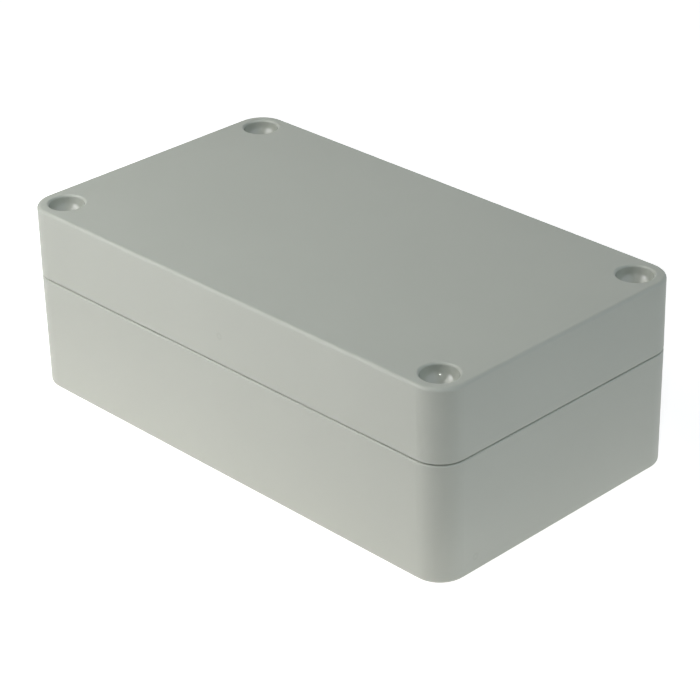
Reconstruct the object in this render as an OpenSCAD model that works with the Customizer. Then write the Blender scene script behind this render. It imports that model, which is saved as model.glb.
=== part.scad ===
// Sealed two-part project box: a deep base, a lid with a screw well at each corner,
// a gasket in the lid's groove, four lid screws and four brass inserts.
// The origin is at the middle of the underside, +X runs along the box and +Z is up.

/* [Case] */
// Length over the widest section, at the parting line
case_len = 115; // [100:1:150]
// Width over the widest section, at the parting line
case_wid = 65; // [60:1:90]
// Height of the parting line above the underside
part_h = 24.75; // [22:0.25:40]
// Height from the parting line to the flat top
lid_h = 15.25; // [13:0.25:25]
// Radius of the upright corners at the parting line
corner_r = 6; // [5:0.25:6.5]
// Thickness of the side walls
wall_t = 3; // [2.8:0.1:3.2]
// Thickness of the base's floor and of the lid's top plate
plate_t = 2.6; // [2:0.1:3.5]
// Draft angle of the base's outer faces
base_draft = 0.2; // [0.1:0.05:0.5]
// Draft angle of the lid's outer faces
lid_draft = 0.3; // [0.1:0.05:0.5]
// Rounding along the underside
bottom_edge_r = 0.7; // [0.4:0.05:1]
// Rounding along the lid's top
top_edge_r = 0.75; // [0.4:0.05:1]

/* [Parting line] */
// Open gap between the two rims
seam_gap = 0.3; // [0.2:0.05:0.4]
// Rounding of the base's outer rim
base_rim_r = 0.35; // [0.2:0.05:0.5]
// Rounding of the lid's outer rim
lid_rim_r = 0.2; // [0.1:0.05:0.4]

/* [Seal] */
// Thickness of the lip on each side of the groove
seal_lip = 0.85; // [0.8:0.05:0.9]
// Depth of the groove above the parting line
groove_depth = 3; // [2.6:0.1:3.4]
// Height of the tongue above the parting line
tongue_h = 1.5; // [1.2:0.1:1.8]
// Clearance on each side of the tongue
tongue_gap = 0.2; // [0.15:0.05:0.25]
// Clearance on each side of the gasket
gasket_gap = 0.05; // [0.02:0.01:0.1]
// Radius of the seal's turns beside the corner blocks, at the outer face
seal_turn_r = 4.5; // [4:0.25:5]

/* [Screw wells] */
// Distance of each screw axis from both outer faces
screw_inset = 6; // [6:0.25:6.5]
// Diameter of the well just below its rounded mouth
well_d = 7.3; // [7:0.1:7.5]
// Rounding of the well's mouth
well_lip_r = 0.5; // [0.3:0.05:0.6]
// Inward lean of the well's wall, from upright
well_lean = 6; // [2:0.5:8]
// Depth at which the wall's and the cone's lines cross
cone_depth = 2; // [1.8:0.1:2.2]
// Slope of the cone, from level
cone_angle = 45; // [40:1:50]
// Rounding between the wall and the cone
cone_blend_r = 2.5; // [1.5:0.1:2.6]
// Thickness of the seat under the screw head
seat_t = 3; // [2.5:0.25:4]

/* [Lid screws] */
// Diameter of the screw
screw_d = 2.5; // [2.4:0.1:2.6]
// Length of the screw under its head
screw_len = 12; // [10:0.5:14]
// Diameter of the narrow head
head_d = 3.9; // [3.7:0.1:4]
// Height of the head
head_h = 2; // [1.8:0.1:2.4]
// Rounding of the head
head_edge_r = 0.4; // [0.2:0.1:0.6]
// Clearance round the head in the shaft below the cone
head_gap = 0.15; // [0.1:0.05:0.25]
// Clearance round the screw in the seat
seat_gap = 0.2; // [0.15:0.05:0.3]

/* [Inserts] */
// Outer diameter of the brass insert
insert_d = 4; // [3.8:0.1:4.4]
// Length of the brass insert
insert_len = 5; // [4:0.5:6]
// Radial clearance between the screw and the insert's bore
thread_gap = 0.05; // [0.04:0.01:0.08]
// Depth of the insert's top below the parting line
insert_drop = 0.4; // [0.2:0.1:0.8]

/* [Wall fixing] */
// Distance of the fixing holes from the end faces
fixing_inset_x = 15; // [14.5:0.25:16]
// Distance of the fixing holes from the long faces
fixing_inset_y = 6.5; // [6.5:0.25:7]
// Diameter of the fixing holes
fixing_d = 4.2; // [3.5:0.1:5]
// Length of the pocket above each fixing hole
pocket_len = 7.8; // [7.2:0.1:8]
// Corner radius of the pockets
pocket_r = 1.5; // [1:0.25:2]

/* [Board standoffs] */
// Distance between the base's standoffs along the box
base_pitch_x = 60; // [58:1:62]
// Distance between standoffs across the box
pitch_y = 44; // [30:1:46]
// Diameter of a standoff
standoff_d = 6; // [5:0.5:7]
// Distance between the lid's standoffs along the box
lid_pitch_x = 50; // [40:1:56]
// Height of the base's standoffs above its floor
base_standoff_h = 5; // [3:0.5:8]
// Height of the lid's standoffs below its plate
lid_standoff_h = 4; // [2:0.5:5]
// Diameter of the pilot hole
pilot_d = 2.2; // [1.8:0.1:2.6]

/* [Hidden] */
$fn = 96;

FRONT_LEFT = [-1, -1];
FRONT_RIGHT = [1, -1];
BACK_RIGHT = [1, 1];
BACK_LEFT = [-1, 1];
CORNERS = [BACK_RIGHT, BACK_LEFT, FRONT_LEFT, FRONT_RIGHT];

GREY = [0.74, 0.75, 0.72];
case_h = part_h + lid_h;
base_rim_z = part_h - seam_gap / 2;
lid_rim_z = part_h + seam_gap / 2;
plate_z = case_h - plate_t;
seat_z = part_h + seat_t;
insert_z = part_h - insert_drop - insert_len;
insert_bore_d = screw_d + 2 * thread_gap;
seat_hole_d = screw_d + 2 * seat_gap;
shaft_r = head_d / 2 + head_gap;
core_z = plate_t + 3;
post_pad_d = 2 * screw_inset - 5;
block_x = fixing_inset_x + pocket_len / 2;
block_y = 2 * fixing_inset_y - wall_t;
cut = 1;

// One corner's point: `inset` from the end face and the long face of that corner.
module at_corner(corner, inset_x, inset_y)
    translate([corner[0] * (case_len / 2 - inset_x), corner[1] * (case_wid / 2 - inset_y), 0]) children();

module rounded_rect(size_x, size_y, r) {
    square([size_x - 2 * r, size_y], center = true);
    square([size_x, size_y - 2 * r], center = true);
    for (corner = CORNERS)
        translate([corner[0] * (size_x / 2 - r), corner[1] * (size_y / 2 - r)]) circle(r);
}

// Section through an outer wall: x is measured from the centre of the corner's arc,
// y is height. `lean` tilts the face, outward going up when it is positive.
module wall_section(inner, z_lo, z_hi, lean, r_lo, r_hi) {
    function face_x(z) = corner_r + (z - part_h) * tan(lean);
    function round_x(z, r) = face_x(z) - r / cos(lean);
    lo = [round_x(z_lo + r_lo, r_lo), z_lo + r_lo];
    hi = [round_x(z_hi - r_hi, r_hi), z_hi - r_hi];
    normal = [cos(lean), -sin(lean)];
    polygon([[-inner, z_lo], [lo[0], z_lo], lo + r_lo * normal, hi + r_hi * normal, [hi[0], z_hi], [-inner, z_hi]]);
    translate(lo) circle(r_lo);
    translate(hi) circle(r_hi);
}

// Solid block with drafted faces, round upright corners and rounded edges.
module drafted_block(z_lo, z_hi, lean, r_lo, r_hi) {
    mid_x = case_len / 2 - corner_r;
    mid_y = case_wid / 2 - corner_r;
    for (turn = [0, 180]) rotate(turn) {
        translate([-mid_x, mid_y, 0]) rotate([90, 0, 90]) linear_extrude(2 * mid_x)
            wall_section(mid_y, z_lo, z_hi, lean, r_lo, r_hi);
        translate([mid_x, mid_y, 0]) rotate([90, 0, 0]) linear_extrude(2 * mid_y)
            wall_section(0, z_lo, z_hi, lean, r_lo, r_hi);
    }
    for (k = [0:3])
        at_corner(CORNERS[k], corner_r, corner_r) rotate(90 * k) rotate_extrude(angle = 90)
            wall_section(0, z_lo, z_hi, lean, r_lo, r_hi);
}

// Plan of the dry space, `inset` inside the outer face: it fills the box between the
// long walls and the end walls and turns in around the block at each corner.
module dry_plan(inset) {
    turn_r = seal_turn_r - inset;
    block_r = pocket_r + inset;
    rounded_rect(case_len - 2 * inset, case_wid - 2 * (block_y + inset), turn_r);
    rounded_rect(case_len - 2 * (block_x + inset), case_wid - 2 * inset, turn_r);
    for (corner = CORNERS)
        at_corner(corner, block_x + inset, block_y + inset) scale([corner[0], corner[1]]) difference() {
            square(block_r);
            translate([block_r, block_r]) circle(block_r);
        }
}

// Plan of a rib or groove that follows the seal between two distances from the outer face.
module seal_ring(outer, inner) difference() {
    dry_plan(outer);
    dry_plan(inner);
}

module fixing_pockets(z_lo, z_hi)
    for (corner = CORNERS)
        at_corner(corner, fixing_inset_x, fixing_inset_y) translate([0, 0, z_lo])
            linear_extrude(z_hi - z_lo) rounded_rect(pocket_len, block_y - wall_t, pocket_r);

module standoffs(pitch_x, z_lo, z_hi, d)
    for (corner = CORNERS)
        translate([corner[0] * pitch_x / 2, corner[1] * pitch_y / 2, z_lo])
            cylinder(d = d, h = z_hi - z_lo);

module base() color(GREY) difference() {
    union() {
        difference() {
            drafted_block(0, base_rim_z, base_draft, bottom_edge_r, base_rim_r);
            translate([0, 0, plate_t]) linear_extrude(case_h) dry_plan(wall_t);
            fixing_pockets(plate_t, case_h);
        }
        translate([0, 0, base_rim_z - cut]) linear_extrude(cut + seam_gap / 2 + tongue_h)
            seal_ring(seal_lip + tongue_gap, wall_t - seal_lip - tongue_gap);
        for (corner = CORNERS)
            at_corner(corner, screw_inset, screw_inset) translate([0, 0, base_rim_z - cut])
                cylinder(d = post_pad_d, h = cut + seam_gap / 2);
        standoffs(base_pitch_x, plate_t / 2, plate_t + base_standoff_h, standoff_d);
    }
    for (corner = CORNERS) {
        at_corner(corner, screw_inset, screw_inset) {
            translate([0, 0, insert_z]) cylinder(d = insert_d, h = case_h);
            translate([0, 0, core_z]) cylinder(d = seat_hole_d, h = case_h);
        }
        at_corner(corner, fixing_inset_x, fixing_inset_y) translate([0, 0, -cut])
            cylinder(d = fixing_d, h = case_h);
    }
    standoffs(base_pitch_x, plate_t, case_h, pilot_d);
}

// Well with a rounded mouth, a leaning wall that blends into a cone, and a shaft
// from the cone down to the seat of the screw head.
module screw_well() rotate_extrude() {
    well_r = well_d / 2;
    into_wall = [cos(well_lean), -sin(well_lean)];
    up_wall = [sin(well_lean), cos(well_lean)];
    up_cone = [cos(cone_angle), sin(cone_angle)];
    touch = [well_r, case_h - well_lip_r * (1 - sin(well_lean))];
    lip = touch + well_lip_r * into_wall;
    cross_z = case_h - cone_depth;
    cross = [well_r - (touch[1] - cross_z) * tan(well_lean), cross_z];
    reach = cone_blend_r * tan((90 - cone_angle - well_lean) / 2);
    shaft_z = cross_z - (cross[0] - shaft_r) * tan(cone_angle);
    difference() {
        polygon([[0, seat_z], [shaft_r, seat_z], [shaft_r, shaft_z], cross - reach * up_cone, cross + reach * up_wall,
                 touch, [lip[0], touch[1]], [lip[0], case_h + cut], [0, case_h + cut]]);
        translate(lip) circle(well_lip_r);
    }
    intersection() {
        translate(cross + reach * up_wall - cone_blend_r * into_wall) circle(cone_blend_r);
        translate([0, seat_z]) square([well_r, case_h]);
    }
}

module lid() color(GREY) difference() {
    union() {
        difference() {
            drafted_block(lid_rim_z, case_h, -lid_draft, lid_rim_r, top_edge_r);
            linear_extrude(plate_z) dry_plan(wall_t);
            fixing_pockets(0, plate_z);
        }
        for (corner = CORNERS)
            at_corner(corner, screw_inset, screw_inset) translate([0, 0, part_h])
                cylinder(d = post_pad_d, h = cut + seam_gap / 2);
        standoffs(lid_pitch_x, plate_z - lid_standoff_h, plate_z + plate_t / 2, standoff_d);
    }
    linear_extrude(part_h + groove_depth) seal_ring(seal_lip, wall_t - seal_lip);
    for (corner = CORNERS)
        at_corner(corner, screw_inset, screw_inset) {
            screw_well();
            cylinder(d = seat_hole_d, h = seat_z + cut);
        }
    standoffs(lid_pitch_x, 0, plate_z, pilot_d);
}

module gasket() color([0.12, 0.12, 0.12])
    translate([0, 0, part_h + tongue_h]) linear_extrude(groove_depth - tongue_h)
        seal_ring(seal_lip + gasket_gap, wall_t - seal_lip - gasket_gap);

module lid_screw() color([0.78, 0.79, 0.8]) translate([0, 0, seat_z]) difference() {
    tip = 0.5;
    shank_r = screw_d / 2;
    head_r = head_d / 2;
    recess_d = 2.6;
    recess_w = 0.7;
    recess_h = 1.3;
    rotate_extrude() {
        polygon([[0, -screw_len], [shank_r - tip, -screw_len], [shank_r, tip - screw_len], [shank_r, 0.1], [0, 0.1]]);
        square([head_r - head_edge_r, head_h]);
        square([head_r, head_h - head_edge_r]);
        translate([head_r - head_edge_r, head_h - head_edge_r]) circle(head_edge_r);
    }
    for (turn = [0, 90])
        rotate(turn) translate([-recess_d / 2, -recess_w / 2, head_h - recess_h]) cube([recess_d, recess_w, head_h]);
}

// Threaded insert with two gripping bands, a waist between them and a lead-in.
module insert() color([0.8, 0.65, 0.3]) translate([0, 0, insert_z]) rotate_extrude() {
    bore_r = insert_bore_d / 2;
    grip_r = insert_d / 2;
    waist_r = grip_r - 0.25;
    band_h = insert_len * 0.4;
    lead = 0.3;
    polygon([[bore_r, 0], [waist_r, 0], [grip_r, lead], [grip_r, band_h], [waist_r, band_h + lead],
             [waist_r, insert_len - band_h - lead], [grip_r, insert_len - band_h], [grip_r, insert_len],
             [bore_r + lead, insert_len], [bore_r, insert_len - lead]]);
}

base();
lid();
gasket();
at_corner(FRONT_LEFT, screw_inset, screw_inset) lid_screw();  // screw_front_left
at_corner(FRONT_RIGHT, screw_inset, screw_inset) lid_screw();  // screw_front_right
at_corner(BACK_RIGHT, screw_inset, screw_inset) lid_screw();  // screw_back_right
at_corner(BACK_LEFT, screw_inset, screw_inset) lid_screw();  // screw_back_left
at_corner(FRONT_LEFT, screw_inset, screw_inset) insert();  // insert_front_left
at_corner(FRONT_RIGHT, screw_inset, screw_inset) insert();  // insert_front_right
at_corner(BACK_RIGHT, screw_inset, screw_inset) insert();  // insert_back_right
at_corner(BACK_LEFT, screw_inset, screw_inset) insert();  // insert_back_left
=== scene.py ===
import math

import bmesh
import bpy
from mathutils import Euler, Matrix, Vector


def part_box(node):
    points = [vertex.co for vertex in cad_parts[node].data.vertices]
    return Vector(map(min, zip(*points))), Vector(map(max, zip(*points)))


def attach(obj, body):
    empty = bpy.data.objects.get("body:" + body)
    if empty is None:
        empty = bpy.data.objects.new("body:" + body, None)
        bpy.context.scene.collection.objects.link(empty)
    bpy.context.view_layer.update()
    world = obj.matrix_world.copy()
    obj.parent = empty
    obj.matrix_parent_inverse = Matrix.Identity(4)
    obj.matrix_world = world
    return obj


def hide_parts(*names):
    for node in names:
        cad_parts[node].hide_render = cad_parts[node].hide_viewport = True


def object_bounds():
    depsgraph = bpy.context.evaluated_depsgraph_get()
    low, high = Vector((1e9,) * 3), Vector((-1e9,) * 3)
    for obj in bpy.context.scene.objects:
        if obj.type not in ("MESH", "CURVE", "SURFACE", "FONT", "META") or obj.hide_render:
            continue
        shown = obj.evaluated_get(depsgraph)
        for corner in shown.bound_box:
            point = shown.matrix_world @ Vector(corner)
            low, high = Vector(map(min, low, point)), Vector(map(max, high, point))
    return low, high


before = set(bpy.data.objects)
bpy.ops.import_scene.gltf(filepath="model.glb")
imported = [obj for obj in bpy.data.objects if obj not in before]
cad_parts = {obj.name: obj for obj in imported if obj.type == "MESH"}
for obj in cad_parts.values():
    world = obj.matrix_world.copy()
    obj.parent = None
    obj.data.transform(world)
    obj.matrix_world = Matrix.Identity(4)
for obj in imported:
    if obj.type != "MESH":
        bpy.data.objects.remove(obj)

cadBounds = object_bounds()
mm = 0.001

corners = ("front_left", "front_right", "back_right", "back_left")

caseLow, caseHigh = cadBounds
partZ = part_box("lid")[0].z  # the lid's lowest point, where it rests on the base
screwLow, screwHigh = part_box("screw_back_right")
wellX = (screwLow.x + screwHigh.x) / 2
wellY = (screwLow.y + screwHigh.y) / 2


def linearRgb(hexColour):
    channels = [int(hexColour[i:i + 2], 16) / 255 for i in (1, 3, 5)]
    return tuple(c / 12.92 if c <= 0.04045 else ((c + 0.055) / 1.055) ** 2.4
                 for c in channels) + (1,)


def addNode(tree, kind, props=None, values=None, links=None):
    node = tree.nodes.new(kind)
    for name, value in (props or {}).items():
        setattr(node, name, value)
    for socket, value in (values or {}).items():
        node.inputs[socket].default_value = value
    for socket, source in (links or {}).items():
        tree.links.new(source, node.inputs[socket])
    return node


def newMaterial(name):
    material = bpy.data.materials.new(name)
    material.use_nodes = True
    tree = material.node_tree
    tree.nodes.clear()
    output = addNode(tree, "ShaderNodeOutputMaterial")
    return material, tree, output


def mathNode(tree, operation, a, b=None):
    values = {i: v for i, v in enumerate((a, b)) if isinstance(v, (int, float))}
    links = {i: v for i, v in enumerate((a, b)) if isinstance(v, bpy.types.NodeSocket)}
    return addNode(tree, "ShaderNodeMath", {"operation": operation}, values, links).outputs[0]


# Materials

absSettings = {
    "colour": "#B4B9B0",
    "shade": "#AFB4AB",       # the slightly darker tone of the uneven pigment
    "cloudSize": 30 * mm,     # size of the pigment's soft clouds
    "cloudDetail": 3,
    "cloudRoughness": 0.55,
    "grainSize": 0.25 * mm,   # spark-eroded texture, really about 0.1 mm, drawn coarser to show
    "grainDepth": 0.004 * mm,
    "grainDetail": 2,
    "roughness": 0.52,
    "roughnessSwing": 0.03,   # how far the shine drifts each way from place to place
    "smearSize": 12 * mm,
    "smearDetail": 2,
    "wellRoughness": 0.1,     # the wells' core pins were polished
    "wellRadius": 4.4 * mm,
    "lipHeight": 0.45 * mm,   # the rounded mouth has the lid's texture
    "lipBlend": 0.1 * mm,
    "polishFoot": 2 * mm,     # above the joint, so that only the lid's wells are polished
    "translucency": 0.55,     # pale ABS lets a little light through, which softens narrow gaps
    "scatterDepth": 0.65 * mm,
    "ior": 1.54,
    "scuff": "#9DA198",
    "scuffStrength": 0.3,
    "scuffR": 0.55 * mm,
    "scuffHollow": 0.3,       # the clear middle and the faded rim, as shares of scuffR
    "scuffFade": 1.6,
    # faint blemishes: the middle of the lid's long face, and low on the base's right end
    "scuffs": ((0.3 * mm, -32.4 * mm, 30.8 * mm), (57.4 * mm, -23.4 * mm, 3.3 * mm)),
}


def scuffMask(tree, place, centre, s):
    # a soft ring round the centre
    distance = addNode(tree, "ShaderNodeVectorMath", {"operation": "DISTANCE"},
                       {1: centre}, {0: place}).outputs["Value"]
    rising = addNode(tree, "ShaderNodeMapRange", values={1: s["scuffHollow"] * s["scuffR"],
                                                         2: s["scuffR"]}, links={0: distance})
    falling = addNode(tree, "ShaderNodeMapRange", values={1: s["scuffFade"] * s["scuffR"],
                                                          2: s["scuffR"]}, links={0: distance})
    return mathNode(tree, "MULTIPLY", rising.outputs[0], falling.outputs[0])


def wellMask(tree, place, s):
    # 1 on the polished walls of the four wells, 0 elsewhere
    axes = addNode(tree, "ShaderNodeSeparateXYZ", links={0: place})
    fromAxis = addNode(tree, "ShaderNodeCombineXYZ", links={
        0: mathNode(tree, "SUBTRACT", mathNode(tree, "ABSOLUTE", axes.outputs[0]), wellX),
        1: mathNode(tree, "SUBTRACT", mathNode(tree, "ABSOLUTE", axes.outputs[1]), wellY)})
    distance = addNode(tree, "ShaderNodeVectorMath", {"operation": "LENGTH"},
                       links={0: fromAxis.outputs[0]})
    near = mathNode(tree, "LESS_THAN", distance.outputs["Value"], s["wellRadius"])
    lipFoot = caseHigh.z - s["lipHeight"]
    below = addNode(tree, "ShaderNodeMapRange", values={1: lipFoot + s["lipBlend"],
                                                        2: lipFoot - s["lipBlend"]},
                    links={0: axes.outputs[2]})
    above = mathNode(tree, "GREATER_THAN", axes.outputs[2], partZ + s["polishFoot"])
    return mathNode(tree, "MULTIPLY", mathNode(tree, "MULTIPLY", near, above), below.outputs[0])


def absGrey():
    # injection-moulded ABS: dull, finely textured outside, with smooth and glossier screw wells
    s = absSettings
    material, tree, output = newMaterial("absGreyMoulded")
    place = addNode(tree, "ShaderNodeTexCoord").outputs["Object"]

    cloud = addNode(tree, "ShaderNodeTexNoise", values={
        "Scale": 1 / s["cloudSize"], "Detail": s["cloudDetail"],
        "Roughness": s["cloudRoughness"]}, links={"Vector": place})
    pigment = addNode(tree, "ShaderNodeMix", {"data_type": "RGBA"},
                      {6: linearRgb(s["colour"]), 7: linearRgb(s["shade"])},
                      {0: cloud.outputs["Fac"]})

    first, second = (scuffMask(tree, place, centre, s) for centre in s["scuffs"])
    marked = mathNode(tree, "MULTIPLY", mathNode(tree, "ADD", first, second), s["scuffStrength"])
    colour = addNode(tree, "ShaderNodeMix", {"data_type": "RGBA"}, {7: linearRgb(s["scuff"])},
                     {0: marked, 6: pigment.outputs[2]})

    polished = wellMask(tree, place, s)
    smear = addNode(tree, "ShaderNodeTexNoise", values={
        "Scale": 1 / s["smearSize"], "Detail": s["smearDetail"]}, links={"Vector": place})
    uneven = addNode(tree, "ShaderNodeMapRange", values={
        3: s["roughness"] - s["roughnessSwing"], 4: s["roughness"] + s["roughnessSwing"]},
        links={0: smear.outputs["Fac"]})
    roughness = addNode(tree, "ShaderNodeMix", {"data_type": "FLOAT"}, {3: s["wellRoughness"]},
                        {0: polished, 2: uneven.outputs[0]})

    grain = addNode(tree, "ShaderNodeTexNoise", values={
        "Scale": 1 / s["grainSize"], "Detail": s["grainDetail"]}, links={"Vector": place})
    textured = mathNode(tree, "SUBTRACT", 1.0, polished)
    bump = addNode(tree, "ShaderNodeBump", values={"Distance": s["grainDepth"]},
                   links={"Height": grain.outputs["Fac"], "Strength": textured})

    shader = addNode(tree, "ShaderNodeBsdfPrincipled", values={
        "IOR": s["ior"], "Subsurface Weight": s["translucency"],
        "Subsurface Radius": (1, 1, 1), "Subsurface Scale": s["scatterDepth"]}, links={
        "Base Color": colour.outputs[2], "Roughness": roughness.outputs[0],
        "Normal": bump.outputs[0]})
    tree.links.new(shader.outputs[0], output.inputs[0])
    return material


rubberSettings = {
    "colour": "#1E1E1F",
    "dust": "#2C2C2C",
    "dustSize": 1.5 * mm,
    "dustDetail": 4,
    "dustHeight": 0.01 * mm,
    "dustStrength": 0.6,
    "roughness": 0.75,
    "ior": 1.52,
}


def gasketRubber():
    # extruded rubber cord: dull black with a trace of mould dust
    s = rubberSettings
    material, tree, output = newMaterial("gasketRubber")
    place = addNode(tree, "ShaderNodeTexCoord").outputs["Object"]
    speck = addNode(tree, "ShaderNodeTexNoise", values={
        "Scale": 1 / s["dustSize"], "Detail": s["dustDetail"]}, links={"Vector": place})
    colour = addNode(tree, "ShaderNodeMix", {"data_type": "RGBA"},
                     {6: linearRgb(s["colour"]), 7: linearRgb(s["dust"])},
                     {0: speck.outputs["Fac"]})
    bump = addNode(tree, "ShaderNodeBump", values={
        "Distance": s["dustHeight"], "Strength": s["dustStrength"]},
        links={"Height": speck.outputs["Fac"]})
    shader = addNode(tree, "ShaderNodeBsdfPrincipled", values={
        "IOR": s["ior"], "Roughness": s["roughness"]},
        links={"Base Color": colour.outputs[2], "Normal": bump.outputs[0]})
    tree.links.new(shader.outputs[0], output.inputs[0])
    return material


steelSettings = {"colour": "#C9CBCC", "roughness": 0.26}
brassSettings = {"colour": "#D8B26A", "roughness": 0.32}
toolMarks = {
    "spacing": 0.12 * mm,
    "wander": 1.5,
    "detail": 2,
    "depth": 0.003 * mm,
    "strength": 0.5,
    "smoother": 0.05,   # how far the roughness falls and rises across the marks
    "rougher": 0.08,
}


def turnedMetal(name, s):
    # cold-headed or turned metal: bright, with fine rings of machining marks round its axis
    t = toolMarks
    material, tree, output = newMaterial(name)
    place = addNode(tree, "ShaderNodeTexCoord").outputs["Object"]
    marks = addNode(tree, "ShaderNodeTexWave", {"wave_type": "BANDS", "bands_direction": "Z"},
                    {"Scale": 1 / (2 * math.pi * t["spacing"]), "Distortion": t["wander"],
                     "Detail": t["detail"]}, {"Vector": place})
    roughness = addNode(tree, "ShaderNodeMapRange", values={
        3: s["roughness"] - t["smoother"], 4: s["roughness"] + t["rougher"]},
        links={0: marks.outputs["Fac"]})
    bump = addNode(tree, "ShaderNodeBump", values={
        "Distance": t["depth"], "Strength": t["strength"]},
        links={"Height": marks.outputs["Fac"]})
    shader = addNode(tree, "ShaderNodeBsdfPrincipled", values={
        "Base Color": linearRgb(s["colour"]), "Metallic": 1.0},
        links={"Roughness": roughness.outputs[0], "Normal": bump.outputs[0]})
    tree.links.new(shader.outputs[0], output.inputs[0])
    return material


print("materials")
plastic = absGrey()
rubber = gasketRubber()
steel = turnedMetal("stainlessSteel", steelSettings)
brass = turnedMetal("turnedBrass", brassSettings)


def dress(nodeName, material):
    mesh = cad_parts[nodeName].data
    mesh.materials.clear()
    mesh.materials.append(material)


dress("base", plastic)
dress("lid", plastic)
dress("gasket", rubber)
for corner in corners:
    dress("insert_" + corner, brass)

# Lid screws

screwSettings = {
    "outerR": 1.25 * mm,
    "coreShare": 0.8,        # root diameter over outer diameter of the thread
    "pitch": 0.45 * mm,
    "stepsPerTurn": 36,
    "ridgeSink": 0.05 * mm,  # how deep the thread's foot stands in the core
    "ridgeFoot": 0.45,       # half the width of that foot, as a share of the pitch
    "ridgeCrest": 0.06 * mm,
    "headH": 2 * mm,
    "headEdge": 0.4 * mm,
    "headSeat": 0.1 * mm,    # small chamfer under the head
    "recessWidth": 0.7 * mm,
    "recessDepth": 1.3 * mm,
    "recessSpan": 2.6 * mm,
    "recessTaper": 0.55,     # the driver's blades narrow towards the bottom
    "plainNeck": 0.6 * mm,
    "neckFlare": 0.3 * mm,
    "tipChamfer": 0.5 * mm,
    "tipInset": 0.25 * mm,
    "roundSteps": 64,
    "sharpAbove": 35,        # degrees between faces at which an edge stays sharp
    "firstTurn": 23,         # degrees, so that no two recesses point the same way
    "turnEach": 37,
}
mergeDistance = 1e-7


def spinProfile(bm, points, steps):
    verts = [bm.verts.new((x, 0, z)) for x, z in points]
    edges = [bm.edges.new(pair) for pair in zip(verts, verts[1:])]
    bmesh.ops.spin(bm, geom=verts + edges, cent=(0, 0, 0), axis=(0, 0, 1), angle=2 * math.pi,
                   steps=steps, use_merge=True)
    bmesh.ops.remove_doubles(bm, verts=bm.verts, dist=mergeDistance)


def meshObject(name, bm):
    bmesh.ops.recalc_face_normals(bm, faces=bm.faces)
    mesh = bpy.data.meshes.new(name)
    bm.to_mesh(mesh)
    bm.free()
    thing = bpy.data.objects.new(name, mesh)
    bpy.context.collection.objects.link(thing)
    return thing


def screwBody(headR, shankL):
    # core, neck and narrow rounded head, turned about Z with the seat at z = 0
    s = screwSettings
    headH, outerR, edge, seat = s["headH"], s["outerR"], s["headEdge"], s["headSeat"]
    coreR = outerR * s["coreShare"]
    arc = [(headR - edge + edge * math.cos(a), headH - edge + edge * math.sin(a))
           for a in (math.radians(t) for t in range(0, 91, 10))]
    profile = [(0, -shankL), (coreR - s["tipInset"], -shankL), (coreR, -shankL + s["tipChamfer"]),
               (coreR, -s["plainNeck"]), (outerR, -s["neckFlare"]), (outerR, 0),
               (headR - seat, 0), (headR, seat)] + arc + [(0, headH)]
    bm = bmesh.new()
    spinProfile(bm, profile, s["roundSteps"])
    return meshObject("screwBody", bm)


def threadRidge(bm, shankL):
    # one closed V ridge swept up the shank, its foot sunk in the core
    s = screwSettings
    outerR, crest = s["outerR"], s["ridgeCrest"]
    turns = (shankL - s["plainNeck"] - s["tipChamfer"]) / s["pitch"]
    foot = outerR * s["coreShare"] - s["ridgeSink"]
    half = s["ridgeFoot"] * s["pitch"]
    z0 = -shankL + s["tipChamfer"]
    points = [(foot, z0 - half), (outerR, z0 - crest), (outerR, z0 + crest), (foot, z0 + half)]
    face = bm.faces.new([bm.verts.new((x, 0, z)) for x, z in points])
    bmesh.ops.spin(bm, geom=[face], cent=(0, 0, 0), axis=(0, 0, 1), angle=2 * math.pi * turns,
                   steps=int(turns * s["stepsPerTurn"]),
                   dvec=(0, 0, s["pitch"] / s["stepsPerTurn"]), use_merge=False)


def crossCutter():
    s = screwSettings
    bm = bmesh.new()
    for turn in (0, 90):
        matrix = (Matrix.Rotation(math.radians(turn), 4, "Z")
                  @ Matrix.Translation((0, 0, s["headH"]))
                  @ Matrix.Diagonal((s["recessSpan"], s["recessWidth"], 2 * s["recessDepth"], 1)))
        blade = bmesh.ops.create_cube(bm, size=1, matrix=matrix)
        for v in blade["verts"]:
            if v.co.z < s["headH"]:
                v.co.x *= s["recessTaper"]
                v.co.y *= s["recessTaper"]
    return meshObject("crossCutter", bm)


def lidScrew(corner, turn):
    s = screwSettings
    low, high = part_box("screw_" + corner)
    shankL = high.z - low.z - s["headH"]
    body = screwBody((high.x - low.x) / 2, shankL)
    cutter = crossCutter()
    cut = body.modifiers.new("crossRecess", "BOOLEAN")
    cut.object = cutter
    cut.solver = "EXACT"
    cut.use_self = True
    bpy.context.view_layer.update()
    evaluated = body.evaluated_get(bpy.context.evaluated_depsgraph_get())
    bm = bmesh.new()
    bm.from_mesh(evaluated.to_mesh())
    bpy.data.objects.remove(body)
    bpy.data.objects.remove(cutter)
    threadRidge(bm, shankL)
    turned = Matrix.Rotation(math.radians(turn), 4, "Z")
    place = Matrix.Translation(((low.x + high.x) / 2, (low.y + high.y) / 2, low.z + shankL))
    bmesh.ops.transform(bm, matrix=place @ turned, verts=bm.verts)
    screw = meshObject("lidScrew_" + corner, bm)
    screw.data.materials.append(steel)
    for polygon in screw.data.polygons:
        polygon.use_smooth = True
    sharpen = screw.modifiers.new("sharpEdges", "EDGE_SPLIT")
    sharpen.split_angle = math.radians(s["sharpAbove"])
    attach(screw, "screw_" + corner)
    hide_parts("screw_" + corner)


print("lid screws")
for number, corner in enumerate(corners):
    lidScrew(corner, screwSettings["firstTurn"] + screwSettings["turnEach"] * number)

# Floor, light and camera

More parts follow.
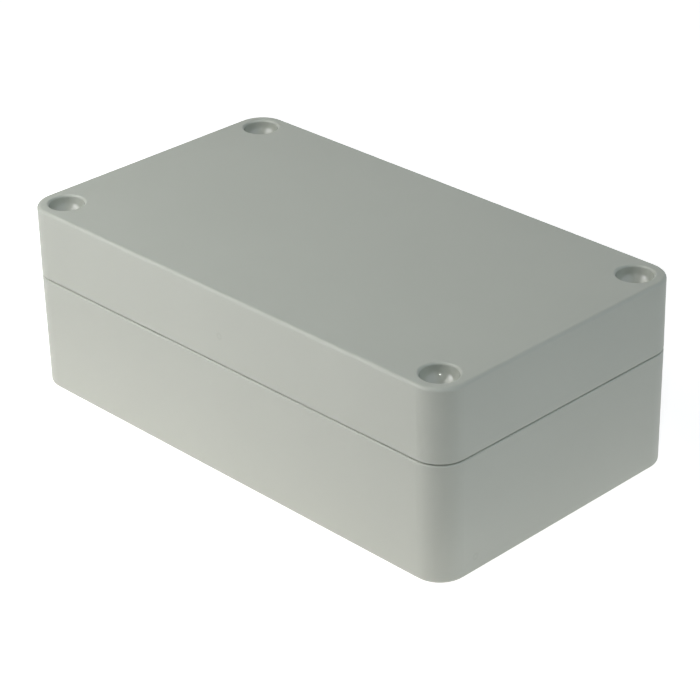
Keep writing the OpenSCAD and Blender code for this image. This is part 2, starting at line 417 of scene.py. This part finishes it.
floorSettings = {
    "size": 6.0,
    "colour": "#D9D9D8",
    "lift": 0.1 * mm,       # the floor lies this far below the box
    "whiteLevel": 0.8,      # what the paper adds where it is seen, leaving the contact shadow
    "glow": 0.6,            # light table under the paper, close round the box
    "glowColour": (1, 0.9, 0.87, 1),
    "glowReach": 100 * mm,
}


def seenRay(tree):
    # 1 for rays that see the background straight, in gloss or through glass
    path = addNode(tree, "ShaderNodeLightPath")
    seen = mathNode(tree, "MAXIMUM", path.outputs["Is Camera Ray"], path.outputs["Is Glossy Ray"])
    return mathNode(tree, "MAXIMUM", seen, path.outputs["Is Transmission Ray"])


def glowPool(tree, s):
    # strongest under the box, fading to nothing at glowReach from its sides
    axes = addNode(tree, "ShaderNodeSeparateXYZ",
                   links={0: addNode(tree, "ShaderNodeTexCoord").outputs["Object"]})
    past = [mathNode(tree, "SUBTRACT", mathNode(tree, "ABSOLUTE", axes.outputs[i]), caseHigh[i])
            for i in (0, 1)]
    offset = addNode(tree, "ShaderNodeCombineXYZ", links={
        i: mathNode(tree, "MAXIMUM", past[i], 0.0) for i in (0, 1)})
    away = addNode(tree, "ShaderNodeVectorMath", {"operation": "LENGTH"},
                   links={0: offset.outputs[0]})
    return addNode(tree, "ShaderNodeMapRange", {"interpolation_type": "SMOOTHSTEP"},
                   {1: 0.0, 2: s["glowReach"], 3: s["glow"], 4: 0.0},
                   {0: away.outputs["Value"]}).outputs[0]


def makeFloor():
    s = floorSettings
    bm = bmesh.new()
    bmesh.ops.create_grid(bm, x_segments=1, y_segments=1, size=s["size"] / 2,
                          matrix=Matrix.Translation((0, 0, caseLow.z - s["lift"])))
    floor = meshObject("floor", bm)
    material, tree, output = newMaterial("whitePaper")
    paper = addNode(tree, "ShaderNodeBsdfDiffuse", values={"Color": linearRgb(s["colour"])})
    seen = seenRay(tree)
    strength = addNode(tree, "ShaderNodeMix", {"data_type": "FLOAT"}, {3: s["whiteLevel"]},
                       {0: seen, 2: glowPool(tree, s)})
    tint = addNode(tree, "ShaderNodeMix", {"data_type": "RGBA"},
                   {6: s["glowColour"], 7: (1, 1, 1, 1)}, {0: seen})
    glow = addNode(tree, "ShaderNodeEmission", links={
        "Color": tint.outputs[2], "Strength": strength.outputs[0]})
    both = addNode(tree, "ShaderNodeAddShader", links={0: paper.outputs[0], 1: glow.outputs[0]})
    tree.links.new(both.outputs[0], output.inputs[0])
    floor.data.materials.append(material)


worldSettings = {"backdrop": "#FFFFFF"}


def makeWorld():
    # a white backdrop where it is seen, which lights nothing itself
    world = bpy.data.worlds.new("studio")
    bpy.context.scene.world = world
    world.use_nodes = True
    tree = world.node_tree
    tree.nodes.clear()
    backdrop = addNode(tree, "ShaderNodeBackground",
                       values={"Color": linearRgb(worldSettings["backdrop"])},
                       links={"Strength": seenRay(tree)})
    addNode(tree, "ShaderNodeOutputWorld", links={0: backdrop.outputs[0]})


lampSettings = {
    "keySoftbox": {"azimuth": -35, "elevation": 42, "distance": 0.33, "size": 0.26,
                   "watts": 0.67, "colour": (1, 0.99, 0.94)},
    "lowFill": {"azimuth": -20, "elevation": 25, "distance": 0.34, "size": 0.2,
                "watts": 0.31, "colour": (0.93, 0.88, 1)},
    "endFill": {"azimuth": 110, "elevation": 30, "distance": 0.9, "size": 1.2,
                "watts": 4.0, "colour": (0.83, 0.92, 1)},
    "highFill": {"azimuth": 60, "elevation": 60, "distance": 0.9, "size": 0.9,
                 "watts": 0.55, "colour": (0.98, 1, 0.96)},
    "cameraFlash": {"azimuth": 43, "elevation": 30, "distance": 0.5, "size": 0.02,
                    "watts": 0.18, "colour": (1, 1, 1)},
}


def outward(azimuth, elevation):
    # radians; azimuth 0 looks out from the front long face, 90 degrees from the right end
    return Vector((math.sin(azimuth) * math.cos(elevation),
                   -math.cos(azimuth) * math.cos(elevation), math.sin(elevation)))


def makeLamp(name, s):
    away = outward(math.radians(s["azimuth"]), math.radians(s["elevation"]))
    light = bpy.data.lights.new(name, "AREA")
    light.shape = "SQUARE"
    light.size = s["size"]
    light.energy = s["watts"]
    light.color = s["colour"]
    lamp = bpy.data.objects.new(name, light)
    bpy.context.collection.objects.link(lamp)
    lamp.location = (caseLow + caseHigh) / 2 + away * s["distance"]
    lamp.rotation_mode = "QUATERNION"
    lamp.rotation_quaternion = (-away).to_track_quat("-Z", "Y")


cameraSettings = {
    "azimuth": 45.966,
    "elevation": 28.193,
    "roll": -1.218,
    "distance": 475.8 * mm,
    "lens": 123.85,
    "sensor": 36,
    "aim": Vector((2.4, -0.5, 16.2)) * mm,
    "near": 0.01,
    "far": 20,
}


def makeCamera():
    s = cameraSettings
    azimuth, elevation = math.radians(s["azimuth"]), math.radians(s["elevation"])
    data = bpy.data.cameras.new("camera")
    data.lens = s["lens"]
    data.sensor_width = s["sensor"]
    data.clip_start, data.clip_end = s["near"], s["far"]
    camera = bpy.data.objects.new("camera", data)
    bpy.context.collection.objects.link(camera)
    camera.location = s["aim"] + outward(azimuth, elevation) * s["distance"]
    level = Euler((math.pi / 2 - elevation, 0, azimuth)).to_matrix()
    camera.rotation_euler = (level @ Matrix.Rotation(math.radians(s["roll"]), 3, "Z")).to_euler()
    bpy.context.scene.camera = camera


print("floor, light and camera")
makeFloor()
makeWorld()
for name, settings in lampSettings.items():
    makeLamp(name, settings)
makeCamera()
bpy.context.scene.view_settings.view_transform = "Standard"
